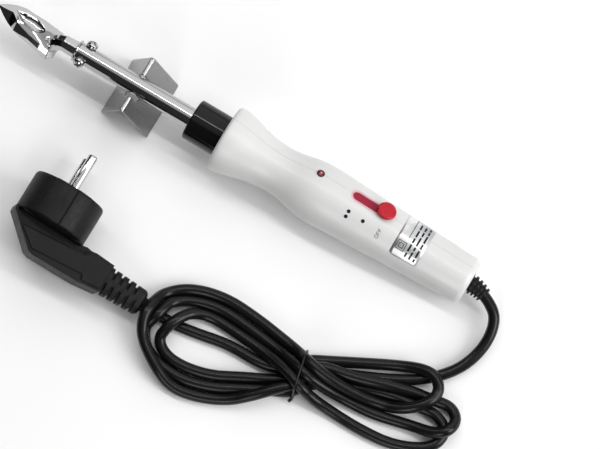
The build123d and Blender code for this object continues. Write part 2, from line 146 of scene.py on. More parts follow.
WHITE = plastic("white_shell", (0.66, 0.66, 0.655), 0.36, 1500.0, 0.035, coat=0.10, dc=0.012, scale=25.0)
COLLAR = plastic("collar_black", (0.005, 0.005, 0.0055), 0.09, 1200.0, 0.02, spec=0.26)
CHROME = metal("polished", (0.50, 0.50, 0.505), 0.07, grain=700.0, strength=0.03)
TIPCHROME = metal("tip_polished", (0.52, 0.52, 0.525), 0.10, grain=260.0, strength=0.12, dist=0.00008)
NICKEL = metal("nickel_pins", (0.58, 0.58, 0.58), 0.13, stretch=(1, 0.1, 1), grain=700.0, strength=0.008, rv=0.2)
SCREW = metal("zinc_screw", (0.50, 0.50, 0.50), 0.14, grain=1100.0, strength=0.05)
SHEET = metal("satin_sheet", (0.30, 0.30, 0.30), 0.30, stretch=(1.0, 14.0, 1.0), grain=160.0, strength=0.10, dist=0.00004, rv=0.2)
CORD = plastic("cord_black", (0.006, 0.006, 0.0065), 0.24, 1600.0, 0.05, spec=0.24)
PLUG = plastic("plug_black", (0.0085, 0.0085, 0.0092), 0.44, 2600.0, 0.35, dist=0.00012, dc=0.15, scale=120.0, spec=0.15)
RELIEF = plastic("relief_black", (0.007, 0.007, 0.0075), 0.36, 2200.0, 0.15, spec=0.22)
RED = plastic("switch_red", (0.44, 0.003, 0.014), 0.28, 900.0, 0.03, coat=0.10, spec=0.3)
REDFLOOR = plastic("switch_slot_red", (0.30, 0.008, 0.034), 0.42, 900.0, 0.05, spec=0.3)
PINK = plastic("slot_rim", (0.66, 0.42, 0.45), 0.35, 900.0, 0.03)
INK = plastic("printed_ink", (0.010, 0.010, 0.011), 0.5, 900.0, 0.04, spec=0.2)
INKLIGHT = plastic("printed_grey", (0.10, 0.10, 0.105), 0.5, 900.0, 0.04, spec=0.2)
SEAM = plastic("parting_line", (0.42, 0.42, 0.42), 0.5, 900.0, 0.02)
LAMP = plastic("lamp_red", (0.16, 0.006, 0.012), 0.14, 700.0, 0.03, coat=0.4)
# light pink: a painted highlight, the bright spot on the glossy red lamp dome
LAMP_HIGHLIGHT_PAINT = plastic("lamp_painted_highlight", (0.62, 0.22, 0.24), 0.35, 700.0, 0.03)
TIE = plastic("tie_black", (0.009, 0.009, 0.0095), 0.30, 1800.0, 0.10, spec=0.25)
# near-black: painted shade for the dark inside of the small hole in the plug's plate
HOLE_SHADE_PAINT = plastic("hole_painted_shade", (0.002, 0.002, 0.002), 0.7, 900.0, 0.02)
FOIL, nt, b = new_mat("label_foil", (0.62, 0.63, 0.64), 0.32, metal=0.75)
g = noise(nt, 1.0, 2.0, stretch=(60.0, 60.0, 60.0))
tint(nt, b, g, (0.42, 0.42, 0.43), (0.86, 0.86, 0.87), (0.30, 0.62))
vary(nt, b, "Roughness", noise(nt, 900.0, 4.0, stretch=(1.0, 12.0, 1.0)), 0.24, 0.40)
BOARD = plastic("board_brown", (0.36, 0.22, 0.09), 0.6, 500.0, 0.1)
CERAMIC = plastic("ceramic_cream", (0.70, 0.67, 0.60), 0.7, 700.0, 0.1)
BRASS = metal("brass", (0.80, 0.62, 0.30), 0.25)
WIRE = plastic("wire_glass", (0.70, 0.69, 0.65), 0.7, 1500.0, 0.2)

BY_SLOT = {"white_plastic": WHITE, "black_plastic": COLLAR, "polished_steel": CHROME, "plated_steel": SCREW, "mica": CERAMIC,
           "ceramic": CERAMIC, "lead_insulation": WIRE, "board": BOARD, "red_plastic": RED, "brass": BRASS, "lamp_red": LAMP,
           "cord_pvc": CORD, "silver_label": FOIL, "sheet_steel": SHEET, "plug_pvc": PLUG, "tie": TIE}
for part in frame["record"]["subparts"]:
    o = nodes[part["node"]]
    o.data.materials.clear()
    o.data.materials.append(BY_SLOT[part["material_slot"]])
nodes["plug_pins"].data.materials[0] = NICKEL
nodes["switch_bezel"].data.materials[0] = REDFLOOR


# ------------------------------------------------------------------ mesh helpers (points in mm)
def make(name, verts, faces, mat, smooth=25.0, bevel=0.0, body="handle", sub=0):
    me = bpy.data.meshes.new(name)
    me.from_pydata([tuple(Vector(v) * MM) for v in verts], [], faces)
    bm = bmesh.new()
    bm.from_mesh(me)
    bmesh.ops.remove_doubles(bm, verts=bm.verts, dist=1e-7)
    bmesh.ops.recalc_face_normals(bm, faces=bm.faces)
    bm.to_mesh(me)
    bm.free()
    me.materials.append(mat)
    for p in me.polygons:
        p.use_smooth = True
    me.set_sharp_from_angle(angle=math.radians(smooth))
    o = bpy.data.objects.new(name, me)
    scene.collection.objects.link(o)
    if bevel:
        mod = o.modifiers.new("bevel", "BEVEL")
        mod.width = bevel * MM
        mod.segments = 2
        mod.limit_method = "ANGLE"
        mod.angle_limit = math.radians(28)
        mod.harden_normals = False
    if sub:
        mod = o.modifiers.new("sub", "SUBSURF")
        mod.levels = mod.render_levels = sub
    if body:
        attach(o, body)
    return o


def skin(rings, cap0=True, cap1=True, closed=True):
    """Verts and faces over a list of equal rings of points."""
    n = len(rings[0])
    verts = [p for r in rings for p in r]
    faces = []
    for i in range(len(rings) - 1):
        for j in range(n if closed else n - 1):
            a, b2 = i * n + j, i * n + (j + 1) % n
            faces.append((a, b2, b2 + n, a + n))
    if cap0:
        faces.append(tuple(range(n))[::-1])
    if cap1:
        faces.append(tuple(range((len(rings) - 1) * n, len(rings) * n)))
    return verts, faces


def circle(center, u, v, r, n):
    return [Vector(center) + (u * math.cos(2 * math.pi * k / n) + v * math.sin(2 * math.pi * k / n)) * r for k in range(n)]


# ------------------------------------------------------------------ camera
A, E = math.radians(30.5), math.radians(78.0)
right = Vector((math.cos(A), math.sin(A), 0))
back = Vector((math.cos(E) * math.sin(A), -math.cos(E) * math.cos(A), math.sin(E)))
up = back.cross(right)
look = Vector((40.5, -14.5, 0)) * MM
D = 1.6
cam = bpy.data.objects.new("camera", bpy.data.cameras.new("camera"))
cam.data.sensor_width = 36.0
cam.data.lens = 36.0 * D / 0.292
cam.data.clip_start, cam.data.clip_end = 0.05, 20.0
m = Matrix((right, up, back)).transposed().to_4x4()
m.translation = look + back * D
cam.matrix_world = m
scene.collection.objects.link(cam)
scene.camera = cam

# ------------------------------------------------------------------ cord
d_end = Vector((0.92, -0.36, -0.15)).normalized()
CORD_EXIT = Vector((135.822, -1.801, 10.753))
PT = math.radians(14.0)
PLUG_FWD = Vector((math.cos(PT), 0, -math.sin(PT)))
PLUG_UP = Vector((math.sin(PT), 0, math.cos(PT)))
PLUG_MID = Vector((-60.9, 0, 19.5))
PLUG_EXIT = PLUG_MID + PLUG_FWD * 58.0 + Vector((0, -88.0, 0))
LEAD_ROUTE = [CORD_EXIT, CORD_EXIT + d_end * 8.0, (147.6, -12.8, 7.3), (147.8, -24.4, 4.4), (143.2, -37.4, 3.0),
              (132.6, -49.2, 2.95), (118.0, -58.6, 2.95)]
PLUG_ROUTE = [PLUG_EXIT, PLUG_EXIT + PLUG_FWD * 7.0, (9.4, -88.5, 2.85), (17.0, -87.9, 2.9)]
HANK = [
    (85, -72.5, 2.9), (73, -84.2, 2.9), (67, -88.2, 2.9), (55.6, -93.5, 2.9), (39.5, -102, 2.9), (20.9, -104.6, 2.9),
    (10.6, -99.4, 4.8), (12, -91, 8.2), (14.5, -85, 7.9), (18.3, -79.2, 5), (27, -75.9, 2.9), (40.9, -76.5, 2.9),
    (57.6, -77.9, 4.2), (72.6, -81.7, 11.3), (81.7, -85, 13.6), (89.3, -86.2, 6.6), (100.2, -86.6, 2.9), (115.3, -87.2, 2.9),
    (133.9, -85.8, 2.9), (150.6, -78, 2.9), (153.2, -67.1, 2.9), (144.9, -62, 2.9), (133.2, -63.5, 2.9), (119.6, -65.1, 2.9),
    (104.4, -70.5, 2.9), (87.8, -77.4, 2.9), (80.9, -85.1, 2.9), (77.6, -88.9, 2.9), (70, -92.5, 2.9), (58.1, -98.5, 2.9),
    (44.1, -106.2, 2.9), (27.4, -110.3, 3), (9.4, -107, 2.9), (1.5, -97.4, 4.2), (4.7, -90, 8.4), (5.6, -84.8, 7.6),
    (7.3, -79.3, 4.6), (15.4, -73.6, 2.9), (29, -70, 3), (46.8, -71.4, 2.9), (64, -73.7, 3.2), (75.2, -76.9, 11.3),
    (82.2, -79, 13.4), (91.8, -79, 7.7), (104.4, -78.3, 3.1), (119, -77.4, 2.9), (135.3, -73.2, 2.9), (148.2, -71.4, 6.8),
    (154.1, -66.8, 8.8), (154.4, -59.7, 4), (148.7, -55.2, 2.9), (139.5, -56.9, 2.9), (129, -58.5, 4.2), (117.4, -62.2, 7.6),
    (101.8, -67.5, 8.1), (86.6, -70, 8.2), (80.4, -74.9, 7.9), (79.9, -83.6, 7.5), (72.7, -90.8, 9), (64, -99.8, 7.4),
    (54.2, -107.5, 2.9), (40, -113.6, 2.9), (27, -115.6, 3.9), (15.4, -110.4, 8.6), (3.6, -101.9, 8.4), (-0.3, -93.6, 11.2),
    (-0.1, -85.8, 10.2), (1.3, -77.6, 3.4), (11.5, -68.8, 2.9), (28.3, -64.4, 3), (46.4, -65.5, 3), (62.6, -67.9, 2.9),
    (73.3, -70.2, 6.6), (80.3, -72.9, 14.1), (89.4, -74.4, 12.2), (104.3, -73.9, 7.2), (118.7, -71.8, 3), (129.3, -68.8, 6.5),
    (138.2, -61.5, 9.1), (140.9, -52.8, 7.5), (135.4, -46.9, 8.9), (127.6, -46.9, 6.6), (116.4, -51, 2.9), (100.9, -58.8, 2.9),
    (86.6, -66.2, 2.9), (76.4, -71.4, 2.9), (70.4, -80.4, 2.9), (58.6, -83.8, 2.9), (41.3, -83.4, 2.9), (26.4, -86.4, 2.9),
]
route = LEAD_ROUTE + HANK + PLUG_ROUTE[::-1]
cu = bpy.data.curves.new("mains_cord", "CURVE")
cu.dimensions = "3D"
sp = cu.splines.new("NURBS")
sp.points.add(len(route) - 1)
for p, q in zip(sp.points, route):
    p.co = (*(Vector(q) * MM), 1.0)
sp.order_u = 3
sp.use_endpoint_u = True
sp.resolution_u = 12
cu.bevel_depth = 0.0028
cu.bevel_resolution = 8
cu.use_fill_caps = True
cu.materials.append(CORD)
cord = bpy.data.objects.new("mains_cord", cu)
scene.collection.objects.link(cord)
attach(cord, "handle")
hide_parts("cord_lead", "cord_hank", "cord_plug_lead")

dg = bpy.context.evaluated_depsgraph_get()

# ------------------------------------------------------------------ handle surface
hv, hf = [], []
for n in ("handle_shell_left", "handle_shell_right"):
    off = len(hv)
    hv += [v.co / MM for v in nodes[n].data.vertices]
    hf += [tuple(i + off for i in p.vertices) for p in nodes[n].data.polygons]
tree = BVHTree.FromPolygons(hv, hf)
_rad = {}


def rad(t):
    k = round(t, 2)
    if k not in _rad:
        e = radial(-25.0 + 140)
        hit = tree.ray_cast(REAR + FWD * k + e * 40, -e)[0]
        _rad[k] = (hit - (REAR + FWD * k)).dot(e) if hit else 12.0
    return _rad[k]


def on_surface(t, arc, lift):
    """Point on the handle: arc in mm round it from the tool's top towards its left."""
    r = rad(t)
    return polar(t, math.degrees(arc / r), r + lift)


def strip(name, left, rightp, mat, lift=0.05, closed=False, body="handle"):
    """A thin printed or moulded line between two rows of (t, arc) points."""
    n = len(left)
    rows = [[on_surface(*left[i], -0.05), on_surface(*left[i], lift), on_surface(*rightp[i], lift), on_surface(*rightp[i], -0.05)] for i in range(n)]
    if closed:
        rows.append(rows[0])
    v, f = skin(rows, cap0=not closed, cap1=not closed)
    return make(name, v, f, mat, smooth=40, body=body)


def disc_on(name, t, arc, r, mat, lift=0.05, n=28):
    c = [on_surface(t + r * math.cos(2 * math.pi * k / n), arc + r * math.sin(2 * math.pi * k / n), lift) for k in range(n)]
    c0 = [on_surface(t + r * math.cos(2 * math.pi * k / n), arc + r * math.sin(2 * math.pi * k / n), -0.05) for k in range(n)]
    v, f = skin([c0, c])
    return make(name, v, f, mat, smooth=40)


# parting line between the shells
for k, (a, b2) in enumerate(((0.6, 46.0), (73.2, 85.6), (90.4, 137.4))):
    ts = [a + (b2 - a) * i / 60 for i in range(61)]
    strip(f"parting_line_{k}", [(t, -0.08) for t in ts], [(t, 0.08) for t in ts], SEAM, lift=0.02)
# printed switch marks
disc_on("mark_dot_a", 67.3, 9.2, 0.95, INK)
disc_on("mark_dot_b", 67.3, 12.0, 0.95, INK)
disc_on("mark_dot_c", 59.1, 9.6, 0.95, INK)


def stroke(name, pts, w, closed=False):
    n = len(pts)
    le, rg = [], []
    for i in range(n):
        a = pts[(i - 1) % n] if closed or i else pts[0]
        b2 = pts[(i + 1) % n] if closed or i < n - 1 else pts[-1]
        dx, dy = b2[0] - a[0], b2[1] - a[1]
        L = math.hypot(dx, dy)
        nx, ny = -dy / L * w / 2, dx / L * w / 2
        le.append((pts[i][0] + nx, pts[i][1] + ny))
        rg.append((pts[i][0] - nx, pts[i][1] - ny))
    T0, A0 = 49.0, 12.4
    tr = lambda p: (T0 + p[1], A0 - p[0])
    return strip(name, [tr(p) for p in le], [tr(p) for p in rg], INKLIGHT, lift=0.04, closed=closed)


stroke("mark_off_o", [(0.72 * math.cos(math.pi * k / 12), 0.9 + 0.9 * math.sin(math.pi * k / 12)) for k in range(24)], 0.26, closed=True)
for q, x0 in enumerate((1.35, 2.95)):
    stroke(f"mark_off_f{q}a", [(x0, -0.02), (x0, 1.82)], 0.26)
    stroke(f"mark_off_f{q}b", [(x0 + 0.12, 1.70), (x0 + 1.15, 1.70)], 0.24)
    stroke(f"mark_off_f{q}c", [(x0 + 0.12, 0.92), (x0 + 0.95, 0.92)], 0.24)

# moulded rim of the switch slot
mid_t, half, N = 51.7 + 7.8, 7.8, 20


def capsule(r):
    pts = []
    for k in range(N + 1):
        a = math.pi / 2 - math.pi * k / N
        pts.append((mid_t + half + r * math.cos(a), r * math.sin(a)))
    for k in range(N + 1):
        a = -math.pi / 2 - math.pi * k / N
        pts.append((mid_t - half + r * math.cos(a), r * math.sin(a)))
    return pts


def dense(pts, step=1.3):
    out = []
    for i, p in enumerate(pts):
        q = pts[(i + 1) % len(pts)]
        k = max(1, int(math.hypot(q[0] - p[0], q[1] - p[1]) / step))
        out += [(p[0] + (q[0] - p[0]) * j / k, p[1] + (q[1] - p[1]) * j / k) for j in range(k)]
    return out


ri, rm, re = dense(capsule(2.52)), dense(capsule(2.86)), dense(capsule(3.5))
nn = len(re)


def fit(pts, n):
    return [pts[int(i * len(pts) / n) % len(pts)] for i in range(n)]


def matched(r, n=120):
    """n points round the capsule of radius r, matched by fraction of its own outline."""
    out = []
    base = capsule(r)
    L = [0.0]
    for i in range(len(base)):
        q = base[(i + 1) % len(base)]
        L.append(L[-1] + math.hypot(q[0] - base[i][0], q[1] - base[i][1]))
    for k in range(n):
        s = L[-1] * k / n
        i = max(j for j in range(len(base)) if L[j] <= s + 1e-9)
        u = (s - L[i]) / max(L[i + 1] - L[i], 1e-9)
        p, q = base[i], base[(i + 1) % len(base)]
        out.append((p[0] + (q[0] - p[0]) * u, p[1] + (q[1] - p[1]) * u))
    return out


rows = []
for r in (2.5, 2.0, 1.4, 0.8, 0.2):
    rows.append([on_surface(t, a, -0.55 + 0.05 * (k % 2)) for k, (t, a) in enumerate(matched(r))])
v, f = skin(rows, cap0=False, cap1=True)
fl = make("switch_slot_floor", v, f, REDFLOOR, smooth=60)
rows = []
for r, lift in ((2.45, -0.9), (2.45, -0.05), (2.62, 0.12), (2.95, 0.16), (3.35, 0.03), (3.45, -0.05)):
    rows.append([on_surface(t, a, lift) for t, a in matched(r)])
v, f = skin(rows, cap0=False, cap1=False)
make("switch_slot_rim", v, f, PINK, smooth=60)
rows = []
for r, lift in ((3.45, -0.05), (3.55, 0.03), (3.9, 0.05), (4.25, 0.0), (4.3, -0.05)):
    rows.append([on_surface(t, a, lift) for t, a in matched(r)])
v, f = skin(rows, cap0=False, cap1=False)
make("switch_slot_border", v, f, WHITE, smooth=60)


# slider knob
def lathe(name, prof, base, axis, u, n, mat, body, smooth=28.0, bevel=0.0, caps=(True, True)):
    """prof: (radius, height) in mm along axis from base."""
    w = axis.cross(u).normalized()
    rings = [circle(base + axis * h, u, w, max(r, 0.001), n) for r, h in prof]
    v, f = skin(rings, cap0=caps[0], cap1=caps[1])
    return make(name, v, f, mat, smooth=smooth, body=body, bevel=bevel)


knob_prof = [(0.9, 6.6), (0.9, 12.95), (2.15, 12.95), (2.15, 15.2), (4.35, 15.2), (4.62, 15.28), (4.75, 15.55), (4.75, 16.3),
             (4.62, 16.72), (4.3, 16.98), (3.9, 17.08), (3.2, 17.02), (1.2, 16.9), (0.75, 16.92), (0.55, 17.02), (0.3, 17.06)]
k = lathe("slider_knob", knob_prof, at(51.7), TOP, FWD, 72, RED, "slider")
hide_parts("switch_slider")
lathe("lamp_dome", [(1.5, 14.0), (1.5, 15.05), (1.38, 15.3), (1.05, 15.5), (0.6, 15.6), (0.2, 15.63)], at(88.0), TOP, FWD, 40, LAMP, "handle")
# small light cap on the dome's top: painted highlight, not a part of the lamp
lathe("lamp_highlight_spot", [(0.55, 15.5), (0.52, 15.66), (0.3, 15.7)], at(88.0), TOP, FWD, 24, LAMP_HIGHLIGHT_PAINT, "handle")
lathe("lamp_seat", [(1.95, 14.6), (1.95, 15.17), (1.85, 15.22), (1.6, 15.2), (1.52, 15.1), (1.52, 14.6)], at(88.0), TOP, FWD, 40, INK, "handle")

# rating label: bent foil with rounded corners, generic symbols only
t0, t1, half_a = 26.2, 41.2, 68.0
rows = []
NA, NT, RC = 56, 10, 1.6
for i in range(NA + 1):
    deg = -half_a + 2 * half_a * i / NA
    rr = 13.2
    dmm = (half_a - abs(deg)) * math.pi / 180 * rr
    c = RC - math.sqrt(max(RC * RC - (RC - dmm) ** 2, 0)) if dmm < RC else 0.0
    rows.append([polar(t0 + c + (t1 - t0 - 2 * c) * j / NT, deg, rad(t0 + c + (t1 - t0 - 2 * c) * j / NT) + 0.10) for j in range(NT + 1)])
v, f = skin(rows, cap0=False, cap1=False, closed=False)
lab = make("label_foil", v, f, FOIL, smooth=60)
mod = lab.modifiers.new("thick", "SOLIDIFY")
mod.thickness = 0.12 * MM
mod.offset = -1
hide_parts("rating_label")


def label_bar(name, t, a0, a1, w):
    arcs = [a0 + (a1 - a0) * i / 10 for i in range(11)]
    strip(name, [(t - w / 2, a) for a in arcs], [(t + w / 2, a) for a in arcs], INK, lift=0.17)


k = 0
for t, spans in ((33.4, ((13.6, 11.2), (10.4, 6.6), (5.8, 3.2), (2.4, -1.6), (-2.4, -7.0))),
                 (31.0, ((13.6, 9.6), (8.8, 6.9), (6.1, 1.4), (0.6, -2.2), (-3.2, -6.8))),
                 (28.6, ((13.6, 12.0), (11.2, 7.4), (6.4, 3.9), (3.1, -1.2), (-2.0, -4.4), (-5.2, -8.0)))):
    for a0, a1 in spans:
        label_bar(f"label_bar_{k}", t, a0, a1, 0.95)
        k += 1
for q, h in enumerate((2.3, 1.3)):
    sq = [(37.6 + h * x, 9.6 + h * y) for x, y in ((-1, -1), (1, -1), (1, 1), (-1, 1))]
    so = dense(sq, 0.6)
    si = [(37.6 + (a - 37.6) * (1 - 0.32 / h), 9.6 + (b2 - 9.6) * (1 - 0.32 / h)) for a, b2 in so]
    strip(f"label_symbol_{q}", so, si, INK, lift=0.17, closed=True)
label_bar("label_rule", 36.0, 4.5, -10.0, 0.35)

# ------------------------------------------------------------------ collar, barrel
U0 = TOP
c = lathe("collar_ring", [(5.02, 128.0), (13.0, 128.0), (13.0, 134.0), (10.5, 134.0), (10.5, 154.5), (10.43, 154.95), (10.15, 155.35), (9.7, 155.6), (5.05, 155.6)],
          REAR, FWD, U0, 128, COLLAR, "handle")
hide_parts("heat_collar")
prof = [(4.3, 119.0), (5.0, 119.0), (5.0, 219.3)]
for kk in range(9):
    a = math.pi * kk / 8
    prof.append((5.0 + 0.72 * math.sin(a) ** 0.8 if 0 < kk < 8 else 5.0, 219.4 + 1.4 * kk / 8))
prof += [(4.85, 220.8), (4.3, 220.6), (4.3, 119.0)]
c = lathe("barrel_sleeve", prof, REAR, FWD, U0, 128, CHROME, "handle", smooth=32, caps=(False, False))
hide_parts("barrel_tube")

# clamp screws: domed heads with a cross recess
sv, sf = [], []
for ang, tt in ((-35.0, 214.9), (85.0, 216.4)):
    e = radial(-25.0 + ang)
    w = FWD.cross(e)
    base = REAR + FWD * tt
    G = 44
    off = len(sv)
    for i in range(G + 1):
        for j in range(G + 1):
            x, y = 2 * i / G - 1, 2 * j / G - 1
            dx, dy = x * math.sqrt(1 - y * y / 2), y * math.sqrt(1 - x * x / 2)
            r = math.hypot(dx, dy)
            h = 6.3 + 1.9 * math.sqrt(max(1 - (r * 0.97) ** 2, 0))
            px, py = dx * 2.75, dy * 2.75
            ca, sa = math.cos(0.6), math.sin(0.6)
            qx, qy = px * ca - py * sa, px * sa + py * ca
            if (abs(qx) < 0.34 or abs(qy) < 0.34) and math.hypot(px, py) < 1.85:
                h -= 0.75
            sv.append(base + e * h + FWD * px + w * py)
    for i in range(G):
        for j in range(G):
            a = off + i * (G + 1) + j
            sf.append((a, a + 1, a + G + 2, a + G + 1))
    rim = [i * (G + 1) for i in range(G + 1)] + [G * (G + 1) + j for j in range(1, G + 1)] + [i * (G + 1) + G for i in range(G - 1, -1, -1)] + [j for j in range(G - 1, 0, -1)]
    rp = [sv[off + q] for q in rim]
    cc = base
    low = []
    for h, rr in ((5.75, 1.0), (5.5, 0.94), (5.45, 0.55), (4.25, 0.55)):
        o2 = len(sv)
        for p in rp:
            d2 = p - cc
            rad2 = d2 - e * d2.dot(e)
            sv.append(cc + e * h + rad2 * rr)
        low.append(o2)
    prev = [off + q for q in rim]
    for o2 in low:
        cur = list(range(o2, o2 + len(rim)))
        for q in range(len(rim)):
            q2 = (q + 1) % len(rim)
            sf.append((prev[q], prev[q2], cur[q2], cur[q]))
        prev = cur
    sf.append(tuple(prev))
s = make("clamp_screw_heads", sv, sf, SCREW, smooth=40)
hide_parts("clamp_screws")


# ------------------------------------------------------------------ tip
def lerp_table(tab, u):
    if u <= tab[0][0]:
        return tab[0][1:]
    for a, b2 in zip(tab, tab[1:]):
        if u <= b2[0]:
            w = (u - a[0]) / (b2[0] - a[0])
            return tuple(x + (y - x) * w for x, y in zip(a[1:], b2[1:]))
    return tab[-1][1:]


# u from the point: top height, far rim s, near rim (s, r), near crease (s, r), near bottom (s, r)
TAB = [(0.0, -0.15, -0.12, 0.12, -0.18, 0.14, -0.28, 0.15, -0.40),
       (4.7, 0.60, -3.05, 0.50, 0.48, 1.75, -0.80, 2.9, -2.1),
       (8.4, 1.20, -4.25, 0.55, 1.15, 2.9, -1.40, 4.6, -3.4),
       (10.85, 1.55, -4.7, 2.6, 1.20, 4.6, -1.8, 5.5, -4.0),
       (12.6, 1.80, -4.85, 4.2, 1.00, 6.5, -3.8, 6.1, -4.6),
       (16.0, 1.20, -5.1, 5.05, -0.1, 6.8, -3.7, 6.3, -5.9),
       (20.7, 0.15, -5.7, 5.75, -1.4, 6.8, -3.55, 6.3, -7.5),
       (24.0, -0.55, -6.1, 5.95, -2.05, 7.08, -4.37, 6.3, -8.8),
       (28.0, -1.45, -6.3, 6.05, -2.9, 7.27, -5.4, 6.25, -10.1),
       (32.0, -2.35, -6.4, 5.95, -3.75, 7.13, -6.2, 6.2, -11.2),
       (34.4, -2.85, -6.4, 5.9, -4.2, 7.05, -6.65, 6.15, -11.7)]
US = [0, 1.2, 2.6, 4.0, 4.7, 5.6, 6.6, 7.6, 8.4, 9.2, 9.5, 10.0, 10.4, 10.85, 11.7, 12.6, 13.4, 14.2, 15, 16, 17, 18, 19, 20, 20.7, 21.6, 22.6, 23.4, 24, 25, 26, 27, 27.35, 27.6, 28.2, 29.2, 30.4, 32, 33.2, 34.4]
NV = 26


def leaf_edge(u):
    """Half width and middle of the leaf-shaped hollow, as fractions of the top face."""
    if u < 9.2 or u > 27.6:
        return 0.0, 0.06 - 0.10 * min(1.0, max(0.0, (u - 9.2) / 18.4))
    x = (u - 9.2) / 18.4
    return 0.70 * max(0.0, math.sin(math.pi * min(1.0, x * 0.97 + 0.015))) ** 0.8, 0.06 - 0.10 * x


def leaf(u, q):
    """Depth of the hollow at q, -1 to 1 across it."""
    if u < 9.2 or u > 27.6:
        return 0.0
    x = (u - 9.2) / 18.4
    return 2.6 * (1 - q * q) ** 0.8 * min(1.0, max(0.0, math.sin(math.pi * x)) * 1.3)


def back_at(s):
    """How far back the body reaches at s (near side positive): a lopsided notch over the neck."""
    for (s0, u0), (s1, u1) in zip(((-7.0, 34.6), (-2.4, 32.2), (1.1, 28.0), (5.6, 32.2)), ((-2.4, 32.2), (1.1, 28.0), (5.6, 32.2), (7.6, 32.2))):
        if s <= s1:
            return u0 + (u1 - u0) * (s - s0) / (s1 - s0)
    return 32.2


def pull(u, end):
    w = max(0.0, (u - 21.0) / 13.4) ** 1.6
    return u - (34.4 - end) * w


rings = []
for u in US:
    rh, fr, ns, nr, cs, cr, bs, br = lerp_table(TAB, u)
    ring = []
    wid, mid = leaf_edge(u)
    cols = [(1 - (1 - (mid + wid)) * j / 7, None) for j in range(7)]
    cols += [(mid + wid * math.cos(math.pi * j / 14), math.cos(math.pi * j / 14)) for j in range(15)]
    cols += [(mid - wid - (1 + mid - wid) * (j + 1) / 7, None) for j in range(7)]
    for v, q in cols:
        # from the near rim to the far rim
        s = fr + (ns - fr) * (v + 1) / 2
        edge = max(0.0, (v - 0.45) / 0.55)
        r = rh + (nr - rh) * edge ** 1.3
        deep = leaf(u, q) if q is not None else 0.0
        ring.append(at(264.7 - pull(u, back_at(s)), r - deep, -s))
    low = br
    for s, r, e in ((fr * 1.01, rh - (rh - low) * 0.45, 34.4), (-bs * 0.95, low + (rh - low) * 0.14, 34.6), (-bs * 0.93, low, 34.6),
                    (-bs * 0.4, low - 0.3, 34.8), (bs * 0.45, low - 0.3, 34.8), (bs, br, 32.3), (bs + (cs - bs) * 0.5, br + (cr - br) * 0.5, 32.2), (cs, cr, 32.2)):
        ring.append(at(264.7 - pull(u, e), r, -s))
    rings.append(ring)
v, f = skin(rings, cap0=True, cap1=False)
n = len(rings[0])
last = (len(US) - 1) * n
center = len(v)
v = list(v) + [at(264.7 - 31.6, -7.0, 0)]
for j in range(n):
    f.append((last + j, last + (j + 1) % n, center))
tip = make("spear_tip", v, f, TIPCHROME, smooth=22, bevel=0.14)
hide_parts("tip_body")

# neck: faceted bar, cranked downwards
path = [(201.0, 0.0), (214.0, 0.0), (221.6, 0.0), (227.4, -0.05), (228.9, -0.75), (230.4, -2.3), (231.9, -4.2), (233.6, -6.4)]
rings = []
for i, (t, r) in enumerate(path):
    a, b2 = path[max(i - 1, 0)], path[min(i + 1, len(path) - 1)]
    d2 = Vector((b2[0] - a[0], b2[1] - a[1])).normalized()
    nrm = TOP * d2.x - FWD * d2.y
    rr = 4.25 if t < 222 else 4.25 - 0.35 * min(1, (t - 222) / 8)
    k8 = 8
    ring = []
    for q in range(k8):
        for sub in (-0.16, 0.16):
            a3 = 2 * math.pi * (q + 0.5 + sub * 0.45) / k8
            ring.append(at(t, r) + (nrm * math.cos(a3) * 0.98 + SIDE * math.sin(a3) * 1.03) * rr)
    rings.append(ring)
v, f = skin(rings)
nk = make("cranked_neck", v, f, TIPCHROME, smooth=19, bevel=0.12)
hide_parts("tip_neck")

# ------------------------------------------------------------------ stand: one folded sheet
sx, H, HB, W = -59.216, 28.0, 13.1, 30.5
leg = math.atan2(H, HB)
notch = 19.308
RB = 1.3
prof = []
cz = H - RB / math.cos(math.pi / 2 - leg) if False else H - RB
th = math.pi / 2 - leg
# the fold: an arc tangent to both legs
cx0, cz0 = 0.0, H - RB * 1.0
arc = [(RB * math.sin(a), cz0 + RB * math.cos(a)) for a in [(-(math.pi / 2 - th)) + 2 * (math.pi / 2 - th) * k / 8 for k in range(9)]]
x_end, z_end = arc[-1]
foot = HB
legz = [z_end, 26.0, 24.5, 23.0, 22.3, 21.6, 20.9, 20.2, 19.6, notch, 18.0, 14.0, 10.0, 6.0, 3.6, 2.4, 1.4, 0.8, 0.5, 0.35]
legz = [z for z in legz if z <= z_end]
right_leg = [(x_end + (foot - x_end) * (z_end - z) / (z_end - 0.35), z) for z in legz]
left_leg = [(-x, z) for x, z in right_leg[::-1]]
full = left_leg + arc[1:-1] + right_leg


def notch_half(z, sgn):
    if z <= notch:
        return 0.0
    return 2.4 + ((6.9 if sgn < 0 else 5.3) - 2.4) * min(1.0, (z - notch) / 3.2)


v, f = [], []
NY = 10
for sgn in (-1, 1):
    off = len(v)
    for x, z in full:
        lo = notch_half(z, sgn)
        hi = W / 2
        d2 = z
        rc = 0.7 if sgn < 0 else 1.5
        hi -= rc - math.sqrt(max(rc ** 2 - (rc - min(d2, rc)) ** 2, 0)) if d2 < rc else 0.0
        for j in range(NY + 1):
            y = lo + (hi - lo) * j / NY
            v.append(Vector((sx + x, sgn * y, z)))
    for i in range(len(full) - 1):
        for j in range(NY):
            a = off + i * (NY + 1) + j
            f.append((a, a + 1, a + NY + 2, a + NY + 1))
st = make("folded_stand", v, f, SHEET, smooth=45, body="stand")
mod = st.modifiers.new("thick", "SOLIDIFY")
mod.thickness = 0.8 * MM
mod.offset = -1
mod.use_even_offset = True
mod2 = st.modifiers.new("bevel", "BEVEL")
mod2.width, mod2.segments, mod2.limit_method, mod2.angle_limit = 0.12 * MM, 2, "ANGLE", math.radians(50)
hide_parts("stand")


# ------------------------------------------------------------------ plug
def pp(x, y, z):
    """Plug frame: x along its tail, y as the row's, z the plug's own up, from the pins' middle."""
    return PLUG_MID + PLUG_FWD * x + PLUG_UP * z + Vector((0, y, 0))


